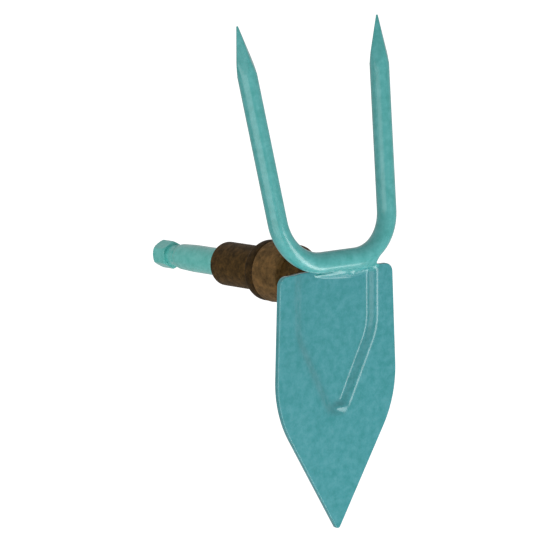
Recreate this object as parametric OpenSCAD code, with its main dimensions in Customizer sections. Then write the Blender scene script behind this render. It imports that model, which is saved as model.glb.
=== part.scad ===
// Head of a change-handle garden hoe: a pointed blade below, a two-prong fork above.
// The tang's axis lies along Y. The origin is on that axis, where the handle's end seats.
// Z points up along the fork, and +Y points back along the handle.

/* [Blade] */
// Greatest width of the blade
blade_w = 71; // [66:0.5:84]
// Width of the blade at its top edge
blade_top_w = 67.6; // [60:0.2:70]
// Height of the top edge above the tang's axis
blade_up = 5; // [4:0.5:6]
// Depth of the point below the tang's axis
blade_down = 120; // [108:1:140]
// Length of the nearly straight sides
side_len = 51; // [44:1:60]
// Radius that rounds each side into the point
shoulder_r = 55; // [40:1:66]
// Radius of the two top corners
corner_r = 4.5; // [2:0.5:8]
// Radius of the blunted tip
tip_r = 1.6; // [1:0.1:4]
// Thickness of the blade's sheet
blade_t = 2.5; // [2:0.1:3.5]
// Lean of the blade, with its tip towards the handle, in degrees
blade_lean = 2.2; // [0:0.1:5]
// Distance from the blade's front face to the handle's seat, along the tang
reach = 54.3; // [50:0.1:62]

/* [Pressed panel] */
// Width of the panel between its outer folds
panel_w = 47.8; // [44:0.5:56]
// Length of the panel's upright sides, from the top edge
panel_side = 30.5; // [20:0.5:36]
// Length of the whole panel, from the top edge
panel_len = 68.3; // [60:0.1:76]
// Width of the panel's blunt lower end
panel_end_w = 10.6; // [8:0.1:14]
// Depth that the panel is pressed back
panel_depth = 3; // [1.5:0.1:4]
// Width of the panel's sloping wall
panel_wall = 3.4; // [2:0.1:4]

/* [Fork] */
// Diameter of the fork's bar
bar_d = 9.4; // [8:0.1:11]
// Height of the bar's lowest centre above the tang's axis
fork_up = 9.6; // [8.5:0.1:11]
// Distance of the bar's lowest centre in front of the blade's front face
fork_ahead = 1.3; // [0.5:0.1:4]
// Lean of the fork, with its points towards the handle, in degrees
fork_lean = 9; // [4:0.5:14]
// Length of the flat stretch between the two bends
bridge_len = 19.4; // [10:0.2:24]
// Radius of each bend, to the bar's centre
bend_r = 23; // [18:0.5:28]
// Outward splay of each prong, in degrees
splay = 5.5; // [2:0.1:9]
// Height of the fork along its own plane, from the bar's lowest centre
fork_h = 113.6; // [95:0.2:135]
// Length of the four-sided point of each prong
point_len = 23; // [15:0.5:30]
// Width left across the very tip of each prong
point_w = 0.8; // [0.6:0.1:3]

/* [Handle bush, stop ring and collar] */
// Diameter of the bush where the handle's tube slides on
bush_d = 21.6; // [20:0.1:23]
// Length of the bush behind the stop ring
bush_back = 33.1; // [26:0.1:42]
// Step in radius down to the bush's front stretch, and the cone that the stop ring seats on
seat_step = 0.3; // [0.1:0.05:0.6]
// Diameter of the stop ring, which the handle's end butts against
ring_d = 29.6; // [27:0.1:34]
// Thickness of the stop ring
ring_len = 6.5; // [4:0.1:9]
// Gap between the blade's back and the front end of the bush, on the tang's axis
bush_gap = 4.6; // [4:0.1:8]
// Largest diameter of the collar, at the stop ring
collar_d = 30.2; // [28:0.1:34]
// Diameter of the collar at its front end
collar_front_d = 27.8; // [26:0.1:30]
// Length of the collar
collar_len = 17.2; // [12:0.1:22]
// Rounding of the rims of the bush, the stop ring and the collar
rim_r = 1.5; // [0.5:0.1:1.8]
// Rounding of the two edges that meet at the seam between stop ring and collar
seam_r = 1.2; // [0.3:0.1:1.5]

/* [Tang] */
// Diameter of the tang inside the bush
root_d = 15.4; // [15:0.1:17]
// Depth from the bush's back end to the end of that stretch
root_inset = 1.5; // [0.5:0.1:4]
// Diameter of the bare shaft behind the bush
shaft_d = 13.6; // [13:0.1:14.6]
// Length of the bare shaft, from the bush to the start of its taper
shaft_len = 26.2; // [18:0.1:36]
// Length of the shaft's taper
taper_len = 10.5; // [6:0.1:14]
// Diameter at the small end of the taper
taper_d = 12.7; // [12:0.1:13]
// Length of the slope down into the latch groove
groove_slope = 3.5; // [1:0.1:5]
// Length of the latch groove's floor
groove_len = 4.5; // [3:0.1:8]
// Diameter of the latch groove's floor
groove_d = 10.5; // [9:0.1:11.5]
// Distance across the flats of the six-sided end
hex_af = 12.6; // [12:0.1:12.9]
// Length of the six-sided end
hex_len = 10.5; // [6:0.1:14]
// Chamfer on the corners of the six-sided end, at the groove
hex_chamfer = 1; // [0.4:0.1:1.2]
// Length of the lead-in chamfer at the very end
lead_in = 2; // [1:0.1:2.6]

/* [Welds] */
// Radius of the front bead's thin left end, between the bar and the panel
front_bead_r = 3.1; // [2.8:0.1:3.8]
// Place of that end
front_bead_x0 = -10.5; // [-12:0.5:-2]
// Radius of the front bead's thick right end
bead_end_r = 4.6; // [4:0.1:5.5]
// Place of that end
bead_end_x = 19.6; // [15:0.1:20]
// Leg of the fillet between the tang and the blade's back
fillet_leg = 3.6; // [2:0.1:4]
// Radius of the bead between the bar, the tang and the blade's top edge
saddle_r = 4; // [3.4:0.1:4.2]
// Length of that bead
saddle_len = 15; // [10:0.5:20]

/* [Hidden] */

ARC_STEPS = 16;
RIM_STEPS = 6;
FAR = 400;
// How far the front bead's thin end lies inside the bar's back, and below the bar.
bead_inset = 1.5;
bead_drop = 2.3;
// How far its thick end lies ahead of that, and above it.
finish_lead = 1;
finish_lift = 3.5;
// How far the saddle bead lies ahead of the blade's back, and above its top edge.
saddle_lead = 0.6;
saddle_lift = 3.4;

teal = [0.31, 0.61, 0.63];
bush_brown = [0.28, 0.22, 0.14];
collar_brown = [0.37, 0.29, 0.19];

blade_half = blade_w / 2;
flare = atan((blade_w - blade_top_w) / 2 / side_len);
shoulder_c = [blade_half - shoulder_r, blade_up - side_len];
tip_c = [0, tip_r - blade_down];
shoulder_to_tip = shoulder_c - tip_c;
point_normal = atan2(shoulder_to_tip[1], shoulder_to_tip[0])
    - acos((tip_r - shoulder_r) / norm(shoulder_to_tip));

wall_slope = atan(panel_depth / panel_wall);
back_shift = blade_t * tan(wall_slope / 2);
back_y = panel_depth + blade_t;

bend_angle = 90 - splay;
leg_start = [bridge_len / 2 + bend_r * sin(bend_angle), bend_r * (1 - cos(bend_angle))];
leg_len = (fork_h - leg_start[1]) / cos(splay);
point_slope = atan((bar_d - point_w) / 2 / point_len);

bush_front_y = back_y + bush_gap - reach;
seat_r = bush_d / 2 - seat_step;
seam_y = -ring_len;
collar_front_y = seam_y - collar_len;
taper_y = bush_back + shaft_len;
groove_y = taper_y + taper_len + groove_slope;
hex_y = groove_y + groove_len;
tang_end_y = hex_y + hex_len;
hex_corner_r = hex_af / 2 / cos(30);

bar_y = -fork_ahead - reach;
bead_y = bar_y + bar_d / 2 - bead_inset;
bead_z = fork_up - bar_d / 2 - bead_drop;
saddle_y = back_y - reach - saddle_lead;

// Points along an arc, from angle a0 to angle a1 in degrees.
function arc(c, r, a0, a1, steps) = [
    for (i = [0:steps])
        let (a = a0 + (a1 - a0) * i / steps)
        c + r * [cos(a), sin(a)]
];

// The same points in reverse order, on the other side of the middle.
function other_side(points) = [
    for (i = [len(points) - 1:-1:0]) [-points[i][0], points[i][1]]
];

// A solid of revolution about Y, from a profile of [radius, y] points.
module turned(profile) {
    rotate([-90, 0, 0])
        rotate_extrude($fn = 96)
            polygon([for (p = profile) [p[0], p[1]]]);
}

// A flat shape in X and Z, given thickness from y0 to y1.
module upright(y0, y1) {
    translate([0, y1, 0])
        rotate([90, 0, 0])
            linear_extrude(y1 - y0)
                children();
}

// The blade's own space: its front face is y = 0 and its sheet lies behind it.
module on_blade() {
    translate([0, -reach, 0])
        rotate([blade_lean, 0, 0])
            children();
}

module blade_outline() {
    corner_c = [blade_top_w / 2 - corner_r, blade_up - corner_r];
    right = concat(
        arc(corner_c, corner_r, 90, flare, ARC_STEPS / 2),
        arc(shoulder_c, shoulder_r, flare, point_normal, ARC_STEPS),
        arc(tip_c, tip_r, point_normal, -90, ARC_STEPS / 2)
    );
    polygon(concat(right, other_side(right)));
}

// The panel's outline, carried past the top edge where the panel runs out.
module panel_outline(grow) {
    past = 3 * blade_up;
    bend_z = blade_up - panel_side;
    end_z = blade_up - panel_len;
    offset(delta = grow)
        polygon([
            [panel_w / 2, past], [panel_w / 2, bend_z], [panel_end_w / 2, end_z],
            [-panel_end_w / 2, end_z], [-panel_w / 2, bend_z], [-panel_w / 2, past]
        ]);
}

// A block with sloping sides, from the wide outline at y0 to the narrow one at y1.
module panel_block(y0, y1, grow) {
    skin = 0.01;
    hull() {
        upright(y0 - skin, y0) panel_outline(grow);
        upright(y1 - skin, y1) panel_outline(grow - panel_wall);
    }
}

module blade_shape() {
    on_blade()
        difference() {
            union() {
                upright(0, blade_t) blade_outline();
                intersection() {
                    upright(blade_t / 2, back_y + blade_t) blade_outline();
                    panel_block(blade_t, back_y, back_shift);
                }
            }
            panel_block(0, panel_depth, 0);
        }
}

module blade() {
    color(teal) blade_shape();
}

// One prong's round leg and its forged four-sided point.
module prong() {
    difference() {
        cylinder(h = leg_len, d = bar_d, $fn = 64);
        for (side = [0:3])
            translate([0, 0, leg_len - point_len])
                rotate([0, 0, 45 + 90 * side])
                    translate([bar_d / 2, -bar_d, 0])
                        rotate([0, -point_slope, 0])
                            cube([bar_d, 2 * bar_d, 2 * point_len]);
    }
}

module fork_half() {
    rotate([0, 90, 0])
        cylinder(h = bridge_len / 2, d = bar_d, $fn = 64);
    translate([bridge_len / 2, 0, bend_r])
        rotate([90, 0, 0])
            rotate([0, 0, -90])
                rotate_extrude(angle = bend_angle, $fn = 96)
                    translate([bend_r, 0])
                        circle(d = bar_d, $fn = 64);
    translate([leg_start[0], 0, leg_start[1]])
        rotate([0, splay, 0])
            prong();
}

module fork_shape() {
    translate([0, bar_y, fork_up])
        rotate([-fork_lean, 0, 0]) {
            fork_half();
            mirror([1, 0, 0]) fork_half();
        }
}

module fork() {
    color(teal) fork_shape();
}

// The room that the blade's sheet takes in front of the tang's end.
module ahead_of_tang() {
    on_blade()
        translate([-FAR / 2, back_y - FAR, -FAR / 2])
            cube([FAR, FAR, FAR]);
}

// The room behind the panel's floor.
module behind_panel() {
    on_blade()
        translate([-FAR / 2, panel_depth, -FAR / 2])
            cube([FAR, FAR, FAR]);
}

// The room above the blade's top edge.
module above_edge() {
    on_blade()
        translate([-FAR / 2, -FAR / 2, blade_up])
            cube([FAR, FAR, FAR]);
}

module tang_shape() {
    difference() {
        turned([
            [0, -reach], [root_d / 2, -reach],
            [root_d / 2, bush_back - root_inset], [shaft_d / 2, bush_back - root_inset],
            [shaft_d / 2, taper_y], [taper_d / 2, taper_y + taper_len],
            [groove_d / 2, groove_y], [groove_d / 2, hex_y + hex_chamfer], [0, hex_y + hex_chamfer]
        ]);
        ahead_of_tang();
    }
    intersection() {
        upright(hex_y, tang_end_y)
            circle(r = hex_corner_r, $fn = 6);
        turned([
            [0, hex_y], [hex_corner_r - hex_chamfer, hex_y],
            [hex_corner_r, hex_y + hex_chamfer], [hex_corner_r, tang_end_y - lead_in],
            [hex_corner_r - lead_in, tang_end_y], [0, tang_end_y]
        ]);
    }
}

module tang() {
    color(teal) tang_shape();
}

module handle_bush() {
    bore_r = root_d / 2;
    color(bush_brown)
        turned(concat(
            [
                [bore_r, bush_front_y], [seat_r - seam_r, bush_front_y],
                [seat_r, bush_front_y + seam_r], [seat_r, -seat_step], [bush_d / 2, 0]
            ],
            arc([bush_d / 2 - rim_r, bush_back - rim_r], rim_r, 0, 90, RIM_STEPS),
            [[bore_r, bush_back]]
        ));
}

// The outside of a ring as profile points, with its two rims rounded.
function ring_outside(y0, y1, r0, r1, round0, round1) = concat(
    arc([r0 - round0, y0 + round0], round0, -90, 0, RIM_STEPS),
    arc([r1 - round1, y1 - round1], round1, 0, 90, RIM_STEPS)
);

// The stop ring's bore widens at its back to the bush's full diameter, and seats on that cone.
module stop_ring() {
    color(bush_brown)
        turned(concat(
            [[seat_r, seam_y]],
            ring_outside(seam_y, 0, ring_d / 2, ring_d / 2, seam_r, rim_r),
            [[bush_d / 2, 0], [seat_r, -seat_step]]
        ));
}

module collar() {
    color(collar_brown)
        turned(concat(
            [[seat_r, collar_front_y]],
            ring_outside(collar_front_y, seam_y, collar_front_d / 2, collar_d / 2, rim_r, seam_r),
            [[seat_r, seam_y]]
        ));
}

// A round-ended bead from one point to another, with a radius of its own at each.
module bead(p0, p1, r0, r1) {
    run = p1 - p0;
    length = norm(run);
    taper = asin((r0 - r1) / length);
    translate(p0)
        rotate([0, acos(run[2] / length), atan2(run[1], run[0])])
            rotate_extrude($fn = 48)
                polygon(concat(
                    arc([0, 0], r0, -90, taper, RIM_STEPS),
                    arc([0, length], r1, taper, 90, RIM_STEPS)
                ));
}

module front_bead() {
    bead(
        [front_bead_x0, bead_y, bead_z],
        [bead_end_x, bead_y - finish_lead, bead_z + finish_lift],
        front_bead_r, bead_end_r
    );
}

module front_weld() {
    color(teal)
        difference() {
            front_bead();
            blade_shape();
            behind_panel();
            fork_shape();
        }
}

module tang_weld() {
    color(teal)
        difference() {
            turned([
                [root_d / 2, -reach], [root_d / 2 + fillet_leg + back_y, -reach],
                [root_d / 2, back_y + fillet_leg - reach]
            ]);
            ahead_of_tang();
            above_edge();
        }
}

module saddle_weld() {
    color(teal)
        difference() {
            intersection() {
                bead(
                    [-saddle_len / 2, saddle_y, blade_up + saddle_lift],
                    [saddle_len / 2, saddle_y, blade_up + saddle_lift],
                    saddle_r, saddle_r
                );
                above_edge();
            }
            fork_shape();
            tang_shape();
            front_bead();
        }
}

blade();
fork();
tang();
handle_bush();
stop_ring();
collar();
front_weld();
tang_weld();
saddle_weld();
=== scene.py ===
import math

import bmesh
import bpy
from bpy.props import FloatProperty, FloatVectorProperty, PointerProperty
from mathutils import Matrix, Vector


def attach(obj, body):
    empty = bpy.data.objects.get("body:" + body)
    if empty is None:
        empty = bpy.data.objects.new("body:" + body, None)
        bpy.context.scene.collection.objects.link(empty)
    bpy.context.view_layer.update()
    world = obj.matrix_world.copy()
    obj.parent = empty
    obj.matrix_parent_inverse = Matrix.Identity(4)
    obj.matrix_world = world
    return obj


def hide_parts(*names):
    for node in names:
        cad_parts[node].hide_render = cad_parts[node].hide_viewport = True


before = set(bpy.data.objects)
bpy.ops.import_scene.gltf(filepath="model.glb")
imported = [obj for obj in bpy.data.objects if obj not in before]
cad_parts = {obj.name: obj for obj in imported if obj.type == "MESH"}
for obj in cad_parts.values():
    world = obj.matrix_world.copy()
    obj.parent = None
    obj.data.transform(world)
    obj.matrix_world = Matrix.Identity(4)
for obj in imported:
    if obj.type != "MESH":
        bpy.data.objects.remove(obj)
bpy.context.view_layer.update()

bl_info = {
    "name": "Two-prong hoe head",
    "version": (1, 0, 0),
    "blender": (4, 5, 0),
    "location": "View3D > Sidebar > Hoe head",
    "description": "Blade, fork, tang, bush, rings and welds of a change-handle garden hoe",
    "category": "Object",
}

MM = 0.001
SAME_PLACE = 0.0001 * MM  # points closer than this are merged
LATHE_STEPS = 96
NOISE_RANGE = (0.3, 0.7)  # where nearly all values of a noise lie


def length_property(name, description, size):
    """A length, given in millimetres."""
    return FloatProperty(name=name, description=description, default=size * MM, unit="LENGTH")


def angle_property(name, description, degrees):
    turn = math.radians(degrees)
    return FloatProperty(name=name, description=description, default=turn, subtype="ANGLE")


def share_property(name, description, share, least, most):
    return FloatProperty(name=name, description=description, default=share, min=least, max=most)


def strength_property(name, description, strength):
    return FloatProperty(name=name, description=description, default=strength, min=0.0)


def colour_property(name, description, colour):
    return FloatVectorProperty(
        name=name, description=description, subtype="COLOR", size=3, default=colour,
    )


class HoeBladeSizes(bpy.types.PropertyGroup):
    """Sizes of the pressed blade."""

    width: length_property("Width", "Greatest width of the blade", 71)
    top_width: length_property("Top width", "Width at the top edge", 67.6)
    top: length_property("Top", "Height of the top edge above the tang's axis", 5)
    depth: length_property("Depth", "Depth of the point below the tang's axis", 120)
    side: length_property("Side", "Length of the nearly straight sides", 51)
    shoulder: length_property("Shoulder", "Radius that rounds each side into the point", 55)
    corner: length_property("Corner", "Radius of the top corners", 4.5)
    tip: length_property("Tip", "Radius of the blunted tip", 1.6)
    sheet: length_property("Sheet", "Thickness of the sheet", 2.5)
    rim: length_property("Rim", "Rounding of the sheet's edges", 0.4)
    lean: angle_property("Lean", "Lean of the blade, tip towards the handle", 2.2)
    reach: length_property("Reach", "From the blade's front to the handle's seat", 54.3)
    panel_width: length_property("Panel width", "Width of the pressed panel", 47.8)
    panel_side: length_property("Panel side", "Length of the panel's upright sides", 30.5)
    panel_length: length_property("Panel length", "Length of the whole panel", 68.3)
    panel_end: length_property("Panel end", "Width of the panel's blunt lower end", 10.6)
    panel_depth: length_property("Panel depth", "Depth that the panel is pressed back", 3)
    panel_wall: length_property("Panel wall", "Width of the panel's sloping wall", 3.4)
    fold_outer: share_property("Outer fold", "Its softness, as a share of the wall", 0.16, 0.01, 0.5)
    fold_inner: share_property("Inner fold", "Its softness, as a share of the wall", 0.08, 0.01, 0.5)
    fold_left: share_property("Left folds", "The softness of both at the left", 0.36, 0.01, 0.5)
    pool: length_property("Paint pool", "Depth of the paint in the panel's end below the face", 0.6)


class HoeForkSizes(bpy.types.PropertyGroup):
    """Sizes of the bent and forged fork."""

    bar: length_property("Bar", "Diameter of the bar", 9.4)
    up: length_property("Up", "Height of the bar's lowest centre above the tang's axis", 9.6)
    ahead: length_property("Ahead", "Distance of that centre in front of the blade", 1.3)
    lean: angle_property("Lean", "Lean of the fork, points towards the handle", 9)
    bridge: length_property("Bridge", "Length of the flat stretch between the bends", 19.4)
    bend: length_property("Bend", "Radius of each bend", 23)
    splay: angle_property("Splay", "Outward splay of each prong", 5.5)
    height: length_property("Height", "Height of the fork in its own plane", 113.6)
    point: length_property("Point", "Length of each forged point", 23)
    point_width: length_property("Point width", "Width left at the very tip", 0.8)
    flatten: share_property("Flatten", "Share by which the welded bridge is spread", 0.08, 0.0, 0.2)


class HoeHubSizes(bpy.types.PropertyGroup):
    """Sizes of the tang, the bush and the two rings."""

    bush: length_property("Bush", "Diameter of the bush behind the stop ring", 21.6)
    bush_back: length_property("Bush back", "Length of the bush behind the stop ring", 33.1)
    bush_front: length_property("Bush front", "Length of the bush in front of the handle's seat", 44.2)
    seat: length_property("Seat", "Diameter of the bush under the rings", 21)
    ring: length_property("Stop ring", "Diameter of the stop ring", 29.6)
    ring_length: length_property("Ring length", "Thickness of the stop ring", 6.5)
    collar: length_property("Collar", "Largest diameter of the collar", 30.2)
    collar_front: length_property("Collar front", "Diameter of the collar's front end", 27.8)
    collar_length: length_property("Collar length", "Length of the collar", 17.2)
    root: length_property("Root", "Diameter of the tang inside the bush", 15.4)
    shaft: length_property("Shaft", "Diameter of the bare shaft", 13.6)
    shaft_length: length_property("Shaft length", "Length of the bare shaft before its taper", 26.2)
    taper: length_property("Taper", "Diameter at the small end of the taper", 12.7)
    taper_length: length_property("Taper length", "Length of the taper", 10.5)
    groove: length_property("Groove", "Diameter of the latch groove's floor", 10.5)
    groove_slope: length_property("Groove slope", "Length of the slope into the groove", 3.5)
    groove_length: length_property("Groove length", "Length of the groove's floor", 4.5)
    flats: length_property("Flats", "Distance across the flats of the six-sided end", 12.6)
    hex_length: length_property("Hex length", "Length of the six-sided end", 10.5)
    hex_front: length_property("Hex front", "Chamfer of the six-sided end at the groove", 1)
    lead_in: length_property("Lead-in", "Chamfer at the very end", 2)


class HoeWeldSizes(bpy.types.PropertyGroup):
    """Sizes of the weld beads."""

    front_start: length_property("Front start", "Place of the front bead's thin left end", -10.5)
    front_end: length_property("Front end", "Place of the front bead's thick right end", 19.6)
    front_thin: length_property("Front thin", "Radius of the thin end", 0.5)
    front_thick: length_property("Front thick", "Radius of the thick end", 4.2)
    lump: length_property("Lump", "Height of the lump where the front bead was ended", 1.0)
    wash: length_property("Wash", "Width over which the bead washes onto the steel beside it", 3.0)
    fillet: length_property("Fillet", "Leg of the fillet round the tang", 3.6)
    saddle_radius: length_property("Saddle radius", "Radius of the bead on the top edge", 3.9)
    saddle_length: length_property("Saddle length", "Length of that bead", 15)


class HoeFinishes(bpy.types.PropertyGroup):
    """Colours of the paint and of the bare brown steel. The fork's and tang's teals are lighter copies
    of the blade's one paint, as painted light; the stop ring's brown is darkened as painted shade.
    """

    teal: colour_property("Teal paint", "Colour of the paint on the blade", (0.037, 0.225, 0.246))
    # The fork and tang carry the blade's paint; their lighter teals are painted light.
    fork_teal_painted_light: colour_property("Fork teal", "Colour on the fork and welds", (0.044, 0.301, 0.294))
    tang_teal_painted_light: colour_property("Tang teal", "Colour of the paint on the tang", (0.072, 0.410, 0.370))
    bush: colour_property("Bush brown", "Colour of the bush; the stop ring takes it darkened as painted shade", (0.051, 0.028, 0.007))
    collar: colour_property("Collar brown", "Colour of the collar", (0.116, 0.066, 0.023))


class HoeStage(bpy.types.PropertyGroup):
    """Floor, lamps and camera."""

    floor_drop: length_property("Floor drop", "Depth of the floor below the tang's axis", 800)
    floor_size: length_property("Floor size", "Side of the floor", 40000)
    low_power: strength_property("Low lamp", "Power of the tall lamp low in front", 4.7)
    under_power: strength_property("Under lamp", "Power of the lamp below the fork's bend", 1.9)
    side_power: strength_property("Side lamp", "Power of the large lamp at the left", 21.0)
    sky: strength_property("Sky", "Strength of the even light from all round", 0.55)
    focal: FloatProperty(
        name="Focal length", description="Focal length in millimetres",
        default=223.27, min=1.0,
    )
    azimuth: angle_property("Azimuth", "Side from which the camera looks", 36.984)
    elevation: angle_property("Elevation", "Height of the view above the horizon", 8.175)
    roll: angle_property("Roll", "Turn of the camera about its own axis", -1.795)
    camera_place: FloatVectorProperty(
        name="Camera place", description="Where the camera stands",
        subtype="XYZ", unit="LENGTH", size=3, default=(-0.97903, -1.3058, 0.2317),
    )


def arc(centre, radius, start, end, steps):
    """Points along an arc, from one angle to another."""
    turns = [start + (end - start) * i / steps for i in range(steps + 1)]
    return [(centre[0] + radius * math.cos(a), centre[1] + radius * math.sin(a)) for a in turns]


def between(a, b, steps):
    """Points that divide a straight stretch, without its two ends."""
    return [tuple(a[k] + (b[k] - a[k]) * i / steps for k in (0, 1)) for i in range(1, steps)]


def smooth_step(t):
    """Eases from 0 to 1 as t does, and stays there outside."""
    t = min(max(t, 0.0), 1.0)
    return t * t * (3 - 2 * t)


def soft_ramp(t, first, last):
    """Zero before 0 and one after 1, with each corner rounded by its own softness."""
    def corner(v, softness):
        return softness * math.log1p(math.exp(-abs(v) / softness)) + max(v, 0.0)
    return corner(t, first) - corner(t - 1, last)


def soft_least(a, b, blend):
    """The lesser of two lengths, rounded where they are alike."""
    h = max(blend - abs(a - b), 0.0) / blend
    return min(a, b) - h * h * blend / 4


def panel_distance(s, x, z):
    """How far a point of the blade lies inside the panel's outer fold."""
    x = abs(x)
    bend_z = s.top - s.panel_side
    end_z = s.top - s.panel_length
    run = (s.panel_width - s.panel_end) / 2
    drop = bend_z - end_z
    side = s.panel_width / 2 - x
    slant = (side * drop - (bend_z - z) * run) / math.hypot(run, drop)
    corner = 3 * MM
    end_steepness = 1.4
    inside = soft_least(side, slant, corner)
    return soft_least(inside, end_steepness * (z - end_z), corner)


def pressed_back(s, x, z, grow=0.0):
    """How far the panel is pressed back at a point of the blade.

    Its folds are softer at the left than at the right, and change over in the middle.
    """
    inside = (panel_distance(s, x, z) + grow) / s.panel_wall
    changeover = 12 * MM
    right = smooth_step(0.5 + x / changeover)
    outer = s.fold_left + (s.fold_outer - s.fold_left) * right
    inner = s.fold_left + (s.fold_inner - s.fold_left) * right
    return s.panel_depth * soft_ramp(inside, outer, inner)


def finish_piece(name, bm, node, material, sharp=40):
    """Turns a bmesh into a shown piece that stands for a CAD node.

    Edges that turn by more than the sharp angle, in degrees, are shaded as sharp.
    """
    bm.normal_update()
    bmesh.ops.recalc_face_normals(bm, faces=bm.faces[:])
    mesh = bpy.data.meshes.new(name)
    bm.to_mesh(mesh)
    bm.free()
    mesh.shade_smooth()
    mesh.set_sharp_from_angle(angle=math.radians(sharp))
    mesh.materials.append(material)
    piece = bpy.data.objects.new(name, mesh)
    bpy.context.scene.collection.objects.link(piece)
    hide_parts(node)
    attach(piece, "root")


def lathe(bm, profile, closed=False):
    """Spins a profile of (radius, y) points about the tang's axis."""
    verts = [bm.verts.new((r, y, 0)) for r, y in profile]
    edges = [bm.edges.new(pair) for pair in zip(verts, verts[1:])]
    if closed:
        edges.append(bm.edges.new((verts[-1], verts[0])))
    bmesh.ops.spin(
        bm, geom=verts + edges, cent=(0, 0, 0), axis=(0, 1, 0), angle=math.tau,
        steps=LATHE_STEPS, use_merge=True, use_duplicate=False,
    )
    bmesh.ops.remove_doubles(bm, verts=bm.verts[:], dist=SAME_PLACE)
    bmesh.ops.recalc_face_normals(bm, faces=bm.faces[:])


def round_ring(bm, radius, y, size, segments=4):
    """Bevels the ring of edges at one radius and place."""
    def on_ring(v):
        off = max(abs(math.hypot(v.co.x, v.co.z) - radius), abs(v.co.y - y))
        return off < 10 * SAME_PLACE
    ring = [e for e in bm.edges if on_ring(e.verts[0]) and on_ring(e.verts[1])]
    bmesh.ops.bevel(
        bm, geom=ring, offset=size, offset_type="OFFSET", affect="EDGES",
        segments=segments, profile=0.5, material=-1, clamp_overlap=True,
    )


def capped_tube(bm, moves, segments, matrix=Matrix.Identity(4)):
    """A tube of radius 1, closed at both ends. Returns its rings of vertices."""
    circle = bmesh.ops.create_circle(bm, cap_ends=True, radius=1, segments=segments, matrix=matrix)
    rings = [circle["verts"]]
    first = set(rings[0])
    edges = [e for e in bm.edges if e.verts[0] in first]
    for move in moves:
        step = bmesh.ops.extrude_edge_only(bm, edges=edges)["geom"]
        rings.append([g for g in step if isinstance(g, bmesh.types.BMVert)])
        edges = [g for g in step if isinstance(g, bmesh.types.BMEdge)]
        bmesh.ops.translate(bm, verts=rings[-1], vec=move)
    bmesh.ops.holes_fill(bm, edges=edges, sides=0)
    return rings


def new_material(name):
    """A material, its nodes and links, and its main shader."""
    material = bpy.data.materials.new(name)
    material.use_nodes = True
    tree = material.node_tree
    return material, tree.nodes, tree.links, tree.nodes["Principled BSDF"]


def object_noise(nodes, links, scale, detail, roughness=0.55, stretch=(1, 1, 1)):
    """Noise on the piece's own coordinates."""
    place = nodes.new("ShaderNodeTexCoord")
    mapping = nodes.new("ShaderNodeMapping")
    mapping.inputs["Scale"].default_value = stretch
    noise = nodes.new("ShaderNodeTexNoise")
    noise.inputs["Scale"].default_value = scale
    noise.inputs["Detail"].default_value = detail
    noise.inputs["Roughness"].default_value = roughness
    links.new(place.outputs["Object"], mapping.inputs["Vector"])
    links.new(mapping.outputs["Vector"], noise.inputs["Vector"])
    return noise


def ramp(nodes, links, source, stops):
    """Colour ramp fed by a noise. stops are (position, colour) pairs."""
    node = nodes.new("ShaderNodeValToRGB")
    while len(node.color_ramp.elements) < len(stops):
        node.color_ramp.elements.new(0.5)
    for element, (position, colour) in zip(node.color_ramp.elements, stops):
        element.position = position
        element.color = (*colour, 1)
    links.new(source, node.inputs["Fac"])
    return node


def map_range(nodes, links, source, low, high, to_low, to_high):
    """Stretches a value from one range to another."""
    node = nodes.new("ShaderNodeMapRange")
    node.inputs["From Min"].default_value = low
    node.inputs["From Max"].default_value = high
    node.inputs["To Min"].default_value = to_low
    node.inputs["To Max"].default_value = to_high
    links.new(source, node.inputs["Value"])
    return node


def add_bump(nodes, links, source, distance, strength, before=None):
    """Relief of a given depth, on top of the relief before it."""
    bump = nodes.new("ShaderNodeBump")
    bump.inputs["Distance"].default_value = distance
    bump.inputs["Strength"].default_value = strength
    links.new(source, bump.inputs["Height"])
    if before:
        links.new(before.outputs["Normal"], bump.inputs["Normal"])
    return bump


def paint_tint(nodes, links, source, colour):
    """The paint's colour with its slight clouding."""
    deep = (colour[0] * 0.60, colour[1] * 0.88, colour[2] * 0.85)
    thin = (colour[0] * 1.50, colour[1] * 1.12, colour[2] * 1.13)
    stops = [(0.34, deep), (0.50, tuple(colour)), (0.66, thin)]
    return ramp(nodes, links, source, stops).outputs["Color"]


def teal_paint(name, colour, ripple, smooth, rough, shine=0.5, coat=0.8, lower=None):
    """Thick gloss paint, dipped, over steel that is not quite even.

    ripple is the depth of its slow waves, and its roughness varies from smooth to rough.
    A lower colour takes over below the blade's top edge.
    """
    material, nodes, links, shader = new_material(name)
    mottle = object_noise(nodes, links, scale=260, detail=5, roughness=0.7).outputs["Fac"]
    tint = paint_tint(nodes, links, mottle, colour)
    if lower:
        place = nodes.new("ShaderNodeTexCoord")
        split = nodes.new("ShaderNodeSeparateXYZ")
        links.new(place.outputs["Object"], split.inputs["Vector"])
        height = map_range(nodes, links, split.outputs["Z"], 0.5 * MM, 5 * MM, 0, 1)
        mix = nodes.new("ShaderNodeMix")
        mix.data_type = "RGBA"
        links.new(height.outputs["Result"], mix.inputs["Factor"])
        links.new(paint_tint(nodes, links, mottle, lower), mix.inputs["A"])
        links.new(tint, mix.inputs["B"])
        tint = mix.outputs["Result"]
    links.new(tint, shader.inputs["Base Color"])
    smear = object_noise(nodes, links, scale=120, detail=3)
    gloss = map_range(nodes, links, smear.outputs["Fac"], *NOISE_RANGE, smooth, rough)
    links.new(gloss.outputs["Result"], shader.inputs["Roughness"])
    shader.inputs["Specular IOR Level"].default_value = shine
    shader.inputs["Coat Weight"].default_value = coat
    shader.inputs["Coat Roughness"].default_value = 0.17
    waves = object_noise(nodes, links, scale=90, detail=2)
    peel = object_noise(nodes, links, scale=900, detail=2)
    slow = add_bump(nodes, links, waves.outputs["Fac"], ripple, strength=0.5)
    fine = add_bump(nodes, links, peel.outputs["Fac"], 0.06 * MM, strength=0.35, before=slow)
    links.new(fine.outputs["Normal"], shader.inputs["Normal"])
    return material


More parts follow.
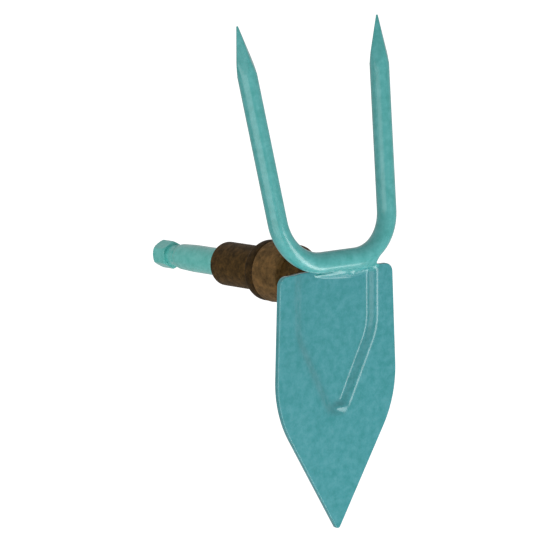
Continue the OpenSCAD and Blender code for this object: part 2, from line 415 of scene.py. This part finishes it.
def brown_steel(name, base, low, high, grain):
    """Bare steel with a dry brown oxide skin, turned and then handled.

    Its clouds go from low to high times the base colour, and grain is the depth of its pits.
    """
    material, nodes, links, shader = new_material(name)
    blotch = object_noise(nodes, links, scale=300, detail=6, roughness=0.75)
    dark = tuple(c * low for c in base)
    pale = (base[0] * high, base[1] * high * 0.94, base[2] * high * 0.9)
    stops = [(0.34, dark), (0.50, tuple(base)), (0.68, pale)]
    tint = ramp(nodes, links, blotch.outputs["Fac"], stops)
    links.new(tint.outputs["Color"], shader.inputs["Base Color"])
    shader.inputs["Specular IOR Level"].default_value = 0.06
    gloss = map_range(nodes, links, blotch.outputs["Fac"], *NOISE_RANGE, 0.62, 0.44)
    links.new(gloss.outputs["Result"], shader.inputs["Roughness"])
    pits = object_noise(nodes, links, scale=700, detail=4, roughness=0.6)
    turning = object_noise(nodes, links, scale=160, detail=2, roughness=0.5, stretch=(0.15, 9, 0.15))
    lines = add_bump(nodes, links, turning.outputs["Fac"], 0.05 * MM, strength=0.5)
    rough = add_bump(nodes, links, pits.outputs["Fac"], grain, strength=0.6, before=lines)
    links.new(rough.outputs["Normal"], shader.inputs["Normal"])
    return material


class HOE_OT_blade(bpy.types.Operator):
    """Press the pointed blade, with its sunken panel, from sheet"""

    bl_idname = "hoe.blade"
    bl_label = "Blade"

    def outline(self, s):
        """Rows of (half width, z) down the blade, from its top edge to its tip."""
        flare = math.atan((s.width - s.top_width) / 2 / s.side)
        corner = (s.top_width / 2 - s.corner, s.top - s.corner)
        shoulder = (s.width / 2 - s.shoulder, s.top - s.side)
        tip = (0, s.tip - s.depth)
        dx, dz = shoulder[0] - tip[0], shoulder[1] - tip[1]
        normal = math.atan2(dz, dx) - math.acos((s.tip - s.shoulder) / math.hypot(dx, dz))
        nearly_level = -math.radians(86)
        rows = arc(corner, s.corner, math.pi / 2, flare, steps=16)
        bend = arc(shoulder, s.shoulder, flare, normal, steps=32)
        end = arc(tip, s.tip, normal, nearly_level, steps=10)
        rows += between(rows[-1], bend[0], steps=60) + bend
        return rows + between(bend[-1], end[0], steps=56) + end

    def uprightness(self, rows):
        """How upright the outline is at each row: 0 where it runs level, 1 where it runs down."""
        shares = []
        for j in range(len(rows)):
            before, after = rows[max(j - 1, 0)], rows[min(j + 1, len(rows) - 1)]
            dw, dz = after[0] - before[0], after[1] - before[1]
            shares.append(abs(dz) / max(math.hypot(dw, dz), 1e-9))
        return shares

    def lay_flat(self, s, bm):
        """Lays a grid over the flat outline, close-set along its edge.

        Returns how far inside the outline each place of the grid lies.
        """
        rows = self.outline(s)
        upright = self.uprightness(rows)
        rim, inner = 4, 100
        rim_steps = [s.rim * (1 - math.cos(math.pi / 2 * k / rim)) for k in range(rim + 1)]
        columns = inner + 2 * rim
        bmesh.ops.create_grid(bm, x_segments=columns, y_segments=len(rows) - 1, size=0.5)
        inside = {}
        for v in bm.verts:
            i = round((v.co.x + 0.5) * columns)
            j = round((0.5 - v.co.y) * (len(rows) - 1))
            w, z = rows[j]
            from_side = min(i, columns - i)
            shrink = min(1.0, w / (4 * s.rim))  # the rim's columns draw together near the tip
            if from_side <= rim:
                x = w - rim_steps[from_side] * shrink
                x = -x if i < columns / 2 else x
            else:
                half = w - rim_steps[rim] * shrink
                x = -half + 2 * half * (i - rim) / inner
            v.co = (x, 0, z)
            side = (w - abs(x)) * upright[j]
            inside[self.place(v)] = min(side, s.top - z, z - rows[-1][1])
        return inside

    def place(self, v):
        """A key that a front point shares with the back point behind it."""
        return round(v.co.x, 7), round(v.co.z, 7)

    def pooled(self, s, x, z, pressed):
        """How much further back the face lies where paint has pooled in the panel's end."""
        pool_x = 0.26 * s.panel_end
        pool_z = s.top - s.panel_length + 0.32 * s.panel_wall
        half_width, half_height, tilt = 4.2 * MM, 2.3 * MM, 0.2
        from_pool = math.hypot((x - pool_x) / half_width, (z - pool_z) / half_height)
        level = s.pool + tilt * (pool_x - x)
        return (level - pressed) * math.exp(-from_pool ** 4)

    def execute(self, context):
        s = context.scene.hoe_blade
        bm = bmesh.new()
        inside = self.lay_flat(s, bm)
        front = bm.verts[:]
        copy = bmesh.ops.extrude_face_region(bm, geom=bm.faces[:], use_keep_orig=True)
        back = [g for g in copy["geom"] if isinstance(g, bmesh.types.BMVert)]
        bmesh.ops.translate(bm, verts=back, vec=(0, s.sheet, 0))
        slope = math.atan(s.panel_depth / s.panel_wall)
        shift = s.sheet * math.tan(slope / 2)
        for verts, sign, grow in ((front, 1, 0.0), (back, -1, shift)):
            for v in verts:
                x, z = v.co.x, v.co.z
                inward = min(inside[self.place(v)], s.rim)
                rounding = s.rim - math.sqrt(max(s.rim ** 2 - (s.rim - inward) ** 2, 0.0))
                pressed = pressed_back(s, x, z, grow)
                v.co.y += sign * rounding + pressed
                if verts is front:
                    v.co.y += self.pooled(s, x, z, pressed)
        lean = Matrix.Rotation(s.lean, 3, "X")
        bmesh.ops.rotate(bm, verts=bm.verts[:], cent=(0, 0, 0), matrix=lean)
        bmesh.ops.translate(bm, verts=bm.verts[:], vec=(0, -s.reach, 0))
        colour = context.scene.hoe_finishes.teal
        paint = teal_paint(
            "Blade paint", colour, ripple=0.22 * MM, smooth=0.18, rough=0.27, shine=0.35, coat=0.6,
        )
        finish_piece("pressed_blade", bm, "blade", paint, sharp=50)
        return {"FINISHED"}


class HOE_OT_fork(bpy.types.Operator):
    """Bend the round bar to a U and forge its two four-sided points"""

    bl_idname = "hoe.fork"
    bl_label = "Fork"

    def extend(self, bm, ring, move):
        """Carries the open ring of edges along by one move."""
        step = bmesh.ops.extrude_edge_only(bm, edges=ring)["geom"]
        verts = [g for g in step if isinstance(g, bmesh.types.BMVert)]
        bmesh.ops.translate(bm, verts=verts, vec=move)
        return [g for g in step if isinstance(g, bmesh.types.BMEdge)]

    def flatten_bridge(self, s, bm):
        """Spreads the bar up and down where it is welded, and thins it from front to back."""
        centre = Vector((s.bridge / 2, 0, s.bend))
        full, fading = 8 * MM, 18 * MM
        thinning = 0.8
        for v in bm.verts:
            share = s.flatten * (1 - smooth_step((v.co.x - full) / fading))
            v.co.y *= 1 - thinning * share
            if v.co.x <= s.bridge / 2:
                v.co.z *= 1 + share
            else:
                out = Vector((v.co.x - centre.x, 0, v.co.z - centre.z))
                length = out.length
                if length > 1e-9 and v.co.z < s.bend:
                    move = out / length * (s.bend + (length - s.bend) * (1 + share))
                    v.co.x, v.co.z = centre.x + move.x, centre.z + move.z

    def forge_point(self, s, bm, start, along):
        """Draws the end of the leg down to a slim four-sided point."""
        across = Vector((along.z, 0, -along.x))
        radius = s.bar / 2
        squareness = 7
        for v in bm.verts:
            offset = v.co - start
            run = offset.dot(along)
            if run < SAME_PLACE:
                continue
            u, w = offset.dot(across), v.co.y
            reach = math.hypot(u, w)
            if reach < 1e-9:
                continue
            flat = radius + (s.point_width / 2 - radius) * min(run / s.point, 1.0)
            turn = math.atan2(w, u) - math.pi / 4
            corner = abs(math.cos(turn)) ** squareness + abs(math.sin(turn)) ** squareness
            square = flat / corner ** (1 / squareness)
            size = soft_least(radius, square, 0.5 * MM) if flat > 0.35 * radius else square
            scale = min(size, radius) / radius
            v.co = start + along * run + across * (u * scale) + Vector((0, w * scale, 0))

    def execute(self, context):
        s = context.scene.hoe_fork
        reach = context.scene.hoe_blade.reach
        bm = bmesh.new()
        face_x = Matrix.Rotation(math.pi / 2, 4, "Y")
        bmesh.ops.create_circle(bm, cap_ends=False, radius=s.bar / 2, segments=48, matrix=face_x)
        ring = bm.edges[:]
        steps = 8
        for _ in range(steps):
            ring = self.extend(bm, ring, (s.bridge / 2 / steps, 0, 0))
        angle = math.pi / 2 - s.splay
        verts = list({v for e in ring for v in e.verts})
        spun = bmesh.ops.spin(
            bm, geom=verts + ring, cent=(s.bridge / 2, 0, s.bend), axis=(0, -1, 0),
            angle=angle, steps=36, use_merge=False, use_duplicate=False,
        )["geom_last"]
        ring = [g for g in spun if isinstance(g, bmesh.types.BMEdge)]
        leg_start = Vector((s.bridge / 2 + s.bend * math.sin(angle), 0, s.bend * (1 - math.cos(angle))))
        along = Vector((math.sin(s.splay), 0, math.cos(s.splay)))
        leg = (s.height - leg_start.z) / math.cos(s.splay)
        plain = leg - s.point
        for stretch, steps in ((plain, 24), (s.point, 30)):
            for _ in range(steps):
                ring = self.extend(bm, ring, along * stretch / steps)
        self.flatten_bridge(s, bm)
        self.forge_point(s, bm, leg_start + along * plain, along)
        bmesh.ops.holes_fill(bm, edges=ring, sides=0)
        half = bm.verts[:] + bm.edges[:] + bm.faces[:]
        bmesh.ops.mirror(bm, geom=half, matrix=Matrix.Identity(4), merge_dist=10 * SAME_PLACE, axis="X")
        bmesh.ops.remove_doubles(bm, verts=bm.verts[:], dist=SAME_PLACE)
        lean = Matrix.Rotation(-s.lean, 3, "X")
        bmesh.ops.rotate(bm, verts=bm.verts[:], cent=(0, 0, 0), matrix=lean)
        bmesh.ops.translate(bm, verts=bm.verts[:], vec=(0, -s.ahead - reach, s.up))
        # The fork takes the lighter teal: painted light on the blade's one paint.
        colour = context.scene.hoe_finishes.fork_teal_painted_light
        paint = teal_paint("Fork paint", colour, ripple=0.18 * MM, smooth=0.34, rough=0.46)
        finish_piece("forged_fork", bm, "fork", paint, sharp=60)
        return {"FINISHED"}


class HOE_OT_tang(bpy.types.Operator):
    """Turn the tang, cut its latch groove and forge its six-sided end"""

    bl_idname = "hoe.tang"
    bl_label = "Tang"

    def six_sided_end(self, s, bm, y0, y1):
        """A six-sided head with both ends chamfered, and its edges a little soft."""
        corner = s.flats / 2 / math.cos(math.pi / 6)
        front, back = y0 + s.hex_front, y1 - s.lead_in
        stations = [(y0, corner - s.hex_front)]
        stations += between(stations[-1], (front, corner), 6) + [(front, corner)]
        stations += between(stations[-1], (back, corner), 8) + [(back, corner)]
        stations += between(stations[-1], (y1, corner - s.lead_in), 8) + [(y1, corner - s.lead_in)]
        face_y = Matrix.Translation((0, y0, 0)) @ Matrix.Rotation(-math.pi / 2, 4, "X")
        moves = [(0, b - a, 0) for (a, _), (b, _) in zip(stations, stations[1:])]
        rings = capped_tube(bm, moves, segments=96, matrix=face_y)
        blunting, softness = 0.12 * MM, 0.5 * MM
        for verts, (_, limit) in zip(rings, stations):
            for v in verts:
                turn = math.atan2(v.co.z, v.co.x)
                from_flat = (turn + math.pi / 6) % (math.pi / 3) - math.pi / 6
                flat = s.flats / 2 / math.cos(from_flat)
                size = min(soft_least(flat, corner - blunting, softness), limit)
                v.co.x, v.co.z = size * math.cos(turn), size * math.sin(turn)

    def execute(self, context):
        s = context.scene.hoe_hub
        blade = context.scene.hoe_blade
        sunk = 0.5 * MM
        front = blade.panel_depth + blade.sheet - blade.reach - sunk
        taper_y = s.bush_back + s.shaft_length
        groove_y = taper_y + s.taper_length + s.groove_slope
        hex_y = groove_y + s.groove_length
        inset = s.bush_back - 1.5 * MM
        last = hex_y + 0.4 * MM
        bm = bmesh.new()
        lathe(bm, [
            (0, front), (s.root / 2, front), (s.root / 2, inset), (s.shaft / 2, inset),
            (s.shaft / 2, taper_y), (s.taper / 2, taper_y + s.taper_length),
            (s.groove / 2, groove_y), (s.groove / 2, last), (0, last),
        ])
        round_ring(bm, s.root / 2, inset, size=0.5 * MM)
        round_ring(bm, s.shaft / 2, taper_y, size=2.5 * MM, segments=6)
        round_ring(bm, s.taper / 2, taper_y + s.taper_length, size=1.2 * MM, segments=6)
        round_ring(bm, s.groove / 2, groove_y, size=1.2 * MM, segments=6)
        self.six_sided_end(s, bm, hex_y, hex_y + s.hex_length)
        # The tang takes the lightest teal: painted light on the blade's one paint.
        colour = context.scene.hoe_finishes.tang_teal_painted_light
        paint = teal_paint("Tang paint", colour, ripple=0.15 * MM, smooth=0.34, rough=0.46)
        finish_piece("grooved_tang", bm, "tang", paint)
        return {"FINISHED"}


class HOE_OT_bush_and_rings(bpy.types.Operator):
    """Turn the brown bush, its stop ring and the collar"""

    bl_idname = "hoe.bush_and_rings"
    bl_label = "Bush and rings"

    def bush(self, s, material):
        """The bush, slimmer where the rings sit on it."""
        bm = bmesh.new()
        lathe(bm, [
            (s.root / 2, -s.bush_front), (s.seat / 2, -s.bush_front), (s.seat / 2, 0),
            (s.bush / 2, 0), (s.bush / 2, s.bush_back), (s.root / 2, s.bush_back),
        ], closed=True)
        round_ring(bm, s.seat / 2, -s.bush_front, size=0.8 * MM)
        round_ring(bm, s.bush / 2, s.bush_back, size=1.5 * MM, segments=6)
        round_ring(bm, s.root / 2, s.bush_back, size=0.3 * MM, segments=3)
        finish_piece("turned_bush", bm, "handle_bush", material)

    def ring(self, bore, front, back):
        """A ring between two rims of (radius, y, rounding)."""
        bm = bmesh.new()
        lathe(bm, [(bore, front[1]), front[:2], back[:2], (bore, back[1])], closed=True)
        for radius, y, rounding in (front, back):
            round_ring(bm, radius, y, size=rounding, segments=6)
        return bm

    def execute(self, context):
        s = context.scene.hoe_hub
        colours = context.scene.hoe_finishes
        # The stop ring's brown is the bush's times 0.62, a painted shade for the shadow at the step.
        shaded = [c * 0.62 for c in colours.bush]
        bush_steel = brown_steel("Bush steel", colours.bush, low=0.42, high=2.0, grain=0.12 * MM)
        ring_steel_painted_shade = brown_steel("Ring steel with painted shade", shaded, low=0.42, high=2.0, grain=0.12 * MM)
        collar_steel = brown_steel("Collar steel", colours.collar, low=0.45, high=1.7, grain=0.14 * MM)
        self.bush(s, bush_steel)
        seam = -s.ring_length
        stop_ring = self.ring(s.seat / 2, (s.ring / 2, seam, 1.3 * MM), (s.ring / 2, 0, 1.9 * MM))
        finish_piece("turned_stop_ring", stop_ring, "stop_ring", ring_steel_painted_shade)
        front = (s.collar_front / 2, seam - s.collar_length, 1.5 * MM)
        collar = self.ring(s.seat / 2, front, (s.collar / 2, seam, 1.3 * MM))
        finish_piece("tapered_collar", collar, "collar", collar_steel)
        return {"FINISHED"}


class HOE_OT_welds(bpy.types.Operator):
    """Lay the three painted-over weld beads"""

    bl_idname = "hoe.welds"
    bl_label = "Welds"

    def bar_distance(self, fork, reach, p):
        """Distance from the bar's surface, near its bridge and bends."""
        local = Matrix.Rotation(fork.lean, 3, "X") @ (p - Vector((0, -fork.ahead - reach, fork.up)))
        past = abs(local.x) - fork.bridge / 2
        in_plane = abs(math.hypot(past, local.z - fork.bend) - fork.bend) if past > 0 else local.z
        return math.hypot(in_plane, local.y) - fork.bar / 2

    def sheet_distance(self, blade, p):
        """Distance from the blade's front, panel and top edge."""
        local = Matrix.Rotation(-blade.lean, 3, "X") @ (p + Vector((0, blade.reach, 0)))
        front = pressed_back(blade, local.x, local.z)
        return max(front - local.y, local.y - front - blade.sheet, local.z - blade.top)

    def front_distance(self, s, start, end, lump_place, p):
        """Distance from the front bead, with its lump, and the width of its wash there.

        The bead thickens and the wash widens from start to end, and the bead curves up.
        """
        run = end - start
        share = min(max((p - start).dot(run) / run.length_squared, 0.0), 1.0)
        middle = start + Vector((run.x * share, run.y * share, run.z * share ** 2))
        radius = s.front_thin + (s.front_thick - s.front_thin) * share
        lump_width = 2.4 * MM
        lump = s.lump * math.exp(-((p - lump_place).length / lump_width) ** 2)
        widened = min(0.12 + 1.5 * share, 1.0)
        return (p - middle).length - radius - lump, s.wash * widened

    def met(self, x, z, solid):
        """The first y, coming from the front, at which a solid is met."""
        y, last = -62 * MM, -50 * MM
        step, before = 0.0, 0.0
        least_step = 0.04 * MM
        while y < last:
            gap = solid(Vector((x, y, z)))
            if gap < 0:
                return y + step * gap / (before - gap)
            step, before = max(gap, least_step), gap
            y += step
        return None

    def skin(self, bm, low, high, cell, washed, steel):
        """The front of a bead with its washes, as a thin sheet where it stands above the steel.

        low and high are opposite corners (x, z) of its grid. Its rim is sunk a little.
        """
        columns = round((high[0] - low[0]) / cell)
        rows = round((high[1] - low[1]) / cell)
        bmesh.ops.create_grid(bm, x_segments=columns, y_segments=rows, size=0.5)
        kept, open_air = set(), set()
        sunk, faintest, thickness = 0.02 * MM, 0.004 * MM, 0.5 * MM
        for v in bm.verts:
            x = low[0] + (v.co.x + 0.5) * (high[0] - low[0])
            z = low[1] + (v.co.y + 0.5) * (high[1] - low[1])
            there = self.met(x, z, washed)
            if there is None:
                open_air.add(v)
                continue
            under = self.met(x, z, steel)
            raised = 1.0 if under is None else under - there
            v.co = (x, there + sunk * (1 - smooth_step(raised / (2 * sunk))), z)
            if raised > faintest:
                kept.add(v)
        bare = [f for f in bm.faces if open_air & set(f.verts) or not kept & set(f.verts)]
        bmesh.ops.delete(bm, geom=bare, context="FACES")
        copy = bmesh.ops.extrude_face_region(bm, geom=bm.faces[:], use_keep_orig=True)
        back = [g for g in copy["geom"] if isinstance(g, bmesh.types.BMVert)]
        bmesh.ops.translate(bm, verts=back, vec=(0, thickness, 0))

    def bead(self, bm, start, end, thin, thick, wash=0.0, distances=(), ripple=0.0):
        """A round-ended bead that washes softly onto the steel that the distances describe.

        Each point moves out from the bead's middle until the bead, rounded into each of
        its neighbours, ends. Without distances it is a plain bead.
        """
        run = end - start
        length = run.length
        steps = 96
        span = length + thin + thick
        rings = capped_tube(bm, [(0, 0, span / steps)] * steps, segments=48)
        turn = run.to_track_quat("Z", "Y").to_matrix()
        stride, most, sunk = 0.1 * MM, 2.6 * MM, 0.25 * MM
        wave_length, slant = 2.7 * MM, 1.4
        end_ring = 0.02
        for k, ring in enumerate(rings):
            along = -thin + span * k / steps
            middle = min(max(along, 0.0), length)
            share = middle / length
            radius = thin + (thick - thin) * share
            over = (along - middle) / radius
            around = math.sqrt(max(1 - over * over, end_ring ** 2))
            centre = start + turn @ Vector((0, 0, middle))
            for v in ring:
                heading = (turn @ Vector((v.co.x * around, v.co.y * around, over))).normalized()
                wave = math.sin(math.tau * along / wave_length + slant * v.co.y)
                size = radius * (1 + ripple * wave * around)
                out, before = size, 0.0
                while distances and out < size + most:
                    point = centre + heading * out
                    near = [distance(point) for distance in distances]
                    if min(near) < -sunk:
                        break
                    gap = min(soft_least(out - size, d, wash) for d in near)
                    if gap > 0:
                        out -= stride * gap / (gap - before)
                        break
                    before = gap
                    out += stride
                v.co = centre + heading * out

    def front(self, s, blade, fork, steel, bar, sheet):
        """The bead between the fork's bridge and the blade, thin at the left and thick at the right."""
        bar_y = -fork.ahead - blade.reach
        bar_low = fork.up - fork.bar / 2
        start = Vector((s.front_start, bar_y + 4.5 * MM, bar_low - 2.0 * MM))
        end = Vector((s.front_end, bar_y + 2.3 * MM, bar_low + 2.8 * MM))
        lump_place = Vector((9.5 * MM, bar_y + 1.2 * MM, bar_low - 3.4 * MM))

        def washed(p):
            own, wash = self.front_distance(s, start, end, lump_place, p)
            if own > wash:
                return min(own, steel(p))
            return min(soft_least(own, bar(p), wash), soft_least(own, sheet(p), wash))

        bm = bmesh.new()
        low, high = (-17 * MM, -5 * MM), (25.5 * MM, 11 * MM)
        self.skin(bm, low, high, 0.25 * MM, washed, steel)
        under = 0.2 * MM
        self.bead(bm, start, end, s.front_thin - under, s.front_thick - under)
        return bm

    def fillet(self, s, root, back, top):
        """The fillet round the tang's root, rippled, and cut level with the blade's top edge."""
        inside = back - 0.5 * MM
        bore = root - 0.3 * MM
        crown = (root + s.fillet * 0.45, back + s.fillet * 0.42)
        bm = bmesh.new()
        profile = [(bore, inside), (root + s.fillet, inside), crown, (bore, back + s.fillet)]
        lathe(bm, profile, closed=True)
        round_ring(bm, *crown, size=1.2 * MM, segments=5)
        ripples, ripple = 22, 0.035
        for v in bm.verts:
            turn = math.atan2(v.co.z, v.co.x)
            out = math.hypot(v.co.x, v.co.z) - root
            if out > 0:
                swell = 1 + ripple * math.sin(ripples * turn) * out / s.fillet
                v.co.x *= swell
                v.co.z *= swell
        bmesh.ops.bisect_plane(
            bm, geom=bm.verts[:] + bm.edges[:] + bm.faces[:], plane_co=(0, 0, top),
            plane_no=(0, 0, 1), clear_outer=True,
        )
        bmesh.ops.holes_fill(bm, edges=[e for e in bm.edges if e.is_boundary], sides=0)
        return bm

    def saddle(self, s, back, top, distances):
        """The bead on the blade's top edge, behind the bridge."""
        middle = Vector((0, back - 0.6 * MM, top + 3.4 * MM))
        half = Vector((s.saddle_length / 2, 0, 0))
        radius = s.saddle_radius
        bm = bmesh.new()
        self.bead(bm, middle - half, middle + half, radius, radius, 1.6 * MM, distances, ripple=0.02)
        return bm

    def execute(self, context):
        s = context.scene.hoe_welds
        blade = context.scene.hoe_blade
        fork = context.scene.hoe_fork
        colours = context.scene.hoe_finishes
        # The welds take the fork's lighter teal, which is painted light, and fade to the blade's teal
        # below its top edge.
        paint = teal_paint(
            "Weld paint", colours.fork_teal_painted_light, ripple=0.2 * MM, smooth=0.26, rough=0.36,
            shine=0.4, coat=0.6, lower=tuple(colours.teal),
        )
        root = context.scene.hoe_hub.root / 2
        back = blade.panel_depth + blade.sheet - blade.reach

        def bar(p):
            return self.bar_distance(fork, blade.reach, p)

        def sheet(p):
            return self.sheet_distance(blade, p)

        def steel(p):
            return min(bar(p), sheet(p))

        for name, node, bm in (
            ("front_bead", "front_weld", self.front(s, blade, fork, steel, bar, sheet)),
            ("tang_fillet", "tang_weld", self.fillet(s, root, back, blade.top)),
            ("saddle_bead", "saddle_weld", self.saddle(s, back, blade.top, (bar, sheet))),
        ):
            finish_piece(name, bm, node, paint)
        return {"FINISHED"}


class HOE_OT_stage(bpy.types.Operator):
    """Set out the pale floor, the soft lamps and the camera"""

    bl_idname = "hoe.stage"
    bl_label = "Stage"

    def floor(self, s):
        """A large pale floor that glows a little where the camera sees it."""
        bm = bmesh.new()
        bmesh.ops.create_grid(bm, x_segments=1, y_segments=1, size=s.floor_size / 2)
        bmesh.ops.translate(bm, verts=bm.verts[:], vec=(0, 0, -s.floor_drop))
        mesh = bpy.data.meshes.new("pale_floor")
        bm.to_mesh(mesh)
        bm.free()
        floor = bpy.data.objects.new("pale_floor", mesh)
        bpy.context.scene.collection.objects.link(floor)
        material, nodes, links, shader = new_material("Pale floor")
        shader.inputs["Base Color"].default_value = (0.8, 0.8, 0.8, 1)
        shader.inputs["Roughness"].default_value = 0.9
        shader.inputs["Specular IOR Level"].default_value = 0.0
        path = nodes.new("ShaderNodeLightPath")
        glow = nodes.new("ShaderNodeMath")
        glow.operation = "MULTIPLY"
        glow.inputs[1].default_value = 0.72
        links.new(path.outputs["Is Camera Ray"], glow.inputs[0])
        shader.inputs["Emission Color"].default_value = (1, 1, 1, 1)
        links.new(glow.outputs["Value"], shader.inputs["Emission Strength"])
        mesh.materials.append(material)

    def world(self, s):
        """Even light from all round, behind which the camera sees plain white."""
        world = bpy.data.worlds.new("Even light")
        world.use_nodes = True
        nodes, links = world.node_tree.nodes, world.node_tree.links
        nodes.clear()
        out = nodes.new("ShaderNodeOutputWorld")
        even = nodes.new("ShaderNodeBackground")
        even.inputs["Color"].default_value = (1, 1, 1, 1)
        even.inputs["Strength"].default_value = s.sky
        white = nodes.new("ShaderNodeBackground")
        white.inputs["Color"].default_value = (1, 1, 1, 1)
        white.inputs["Strength"].default_value = 1.0
        path = nodes.new("ShaderNodeLightPath")
        seen = nodes.new("ShaderNodeMath")
        seen.operation = "MAXIMUM"
        mix = nodes.new("ShaderNodeMixShader")
        links.new(path.outputs["Is Camera Ray"], seen.inputs[0])
        links.new(path.outputs["Is Transmission Ray"], seen.inputs[1])
        links.new(seen.outputs["Value"], mix.inputs["Fac"])
        links.new(even.outputs["Background"], mix.inputs[1])
        links.new(white.outputs["Background"], mix.inputs[2])
        links.new(mix.outputs["Shader"], out.inputs["Surface"])
        bpy.context.scene.world = world

    def lamp(self, name, place, aim, size, power):
        """A lamp with a flat face of (width, height), itself unseen by the camera."""
        data = bpy.data.lights.new(name, "AREA")
        data.shape = "RECTANGLE"
        data.size, data.size_y = size
        data.energy = power
        lamp = bpy.data.objects.new(name, data)
        lamp.location = place
        direction = Vector(aim) - Vector(place)
        lamp.rotation_euler = direction.to_track_quat("-Z", "Y").to_euler()
        lamp.visible_camera = False
        bpy.context.scene.collection.objects.link(lamp)

    def camera(self, s):
        """Axes from azimuth and elevation, then the roll about the line of sight."""
        back = Vector((
            -math.sin(s.azimuth) * math.cos(s.elevation),
            -math.cos(s.azimuth) * math.cos(s.elevation),
            math.sin(s.elevation),
        ))
        level = Vector((math.cos(s.azimuth), -math.sin(s.azimuth), 0))
        upright = back.cross(level)
        right = math.cos(s.roll) * level + math.sin(s.roll) * upright
        up = math.cos(s.roll) * upright - math.sin(s.roll) * level
        data = bpy.data.cameras.new("Camera")
        data.sensor_width = 36
        data.sensor_fit = "HORIZONTAL"
        data.lens = s.focal
        data.clip_end = 100
        camera = bpy.data.objects.new("Camera", data)
        turn = Matrix((right, up, back)).transposed().to_4x4()
        camera.matrix_world = Matrix.Translation(s.camera_place) @ turn
        bpy.context.scene.collection.objects.link(camera)
        bpy.context.scene.camera = camera

    def execute(self, context):
        s = context.scene.hoe_stage
        context.scene.view_settings.view_transform = "Standard"
        self.floor(s)
        self.world(s)
        hub, bridge = (0, 0, 0), (0, -0.05, 0)
        self.lamp("Low lamp", (0.144, -0.866, -0.352), bridge, (0.35, 0.9), s.low_power)
        self.lamp("Under lamp", (0.297, -0.435, -0.575), bridge, (0.4, 0.34), s.under_power)
        self.lamp("Side lamp", (-1.42, -0.55, -0.35), hub, (2.2, 2.0), s.side_power)
        self.camera(s)
        return {"FINISHED"}


class HOE_PT_panel(bpy.types.Panel):
    """Lists the hoe head's pieces"""

    bl_label = "Hoe head"
    bl_idname = "HOE_PT_panel"
    bl_space_type = "VIEW_3D"
    bl_region_type = "UI"
    bl_category = "Hoe head"

    def draw(self, context):
        for operator in OPERATORS:
            self.layout.operator(operator.bl_idname)
        for group in GROUPS:
            box = self.layout.box()
            box.label(text=group.removeprefix("hoe_").capitalize())
            sizes = getattr(context.scene, group)
            for key in sizes.bl_rna.properties.keys():
                if key not in ("rna_type", "name"):
                    box.prop(sizes, key)


GROUPS = {
    "hoe_blade": HoeBladeSizes,
    "hoe_fork": HoeForkSizes,
    "hoe_hub": HoeHubSizes,
    "hoe_welds": HoeWeldSizes,
    "hoe_finishes": HoeFinishes,
    "hoe_stage": HoeStage,
}
OPERATORS = (HOE_OT_stage, HOE_OT_blade, HOE_OT_fork, HOE_OT_tang, HOE_OT_bush_and_rings, HOE_OT_welds)


def register():
    for cls in (*GROUPS.values(), *OPERATORS, HOE_PT_panel):
        bpy.utils.register_class(cls)
    for name, cls in GROUPS.items():
        setattr(bpy.types.Scene, name, PointerProperty(type=cls))


def unregister():
    for name in GROUPS:
        delattr(bpy.types.Scene, name)
    for cls in reversed((*GROUPS.values(), *OPERATORS, HOE_PT_panel)):
        bpy.utils.unregister_class(cls)


def main():
    """Builds everything."""
    register()
    bpy.ops.hoe.stage()
    bpy.ops.hoe.blade()
    bpy.ops.hoe.fork()
    bpy.ops.hoe.tang()
    bpy.ops.hoe.bush_and_rings()
    bpy.ops.hoe.welds()


if __name__ == "__main__":
    main()
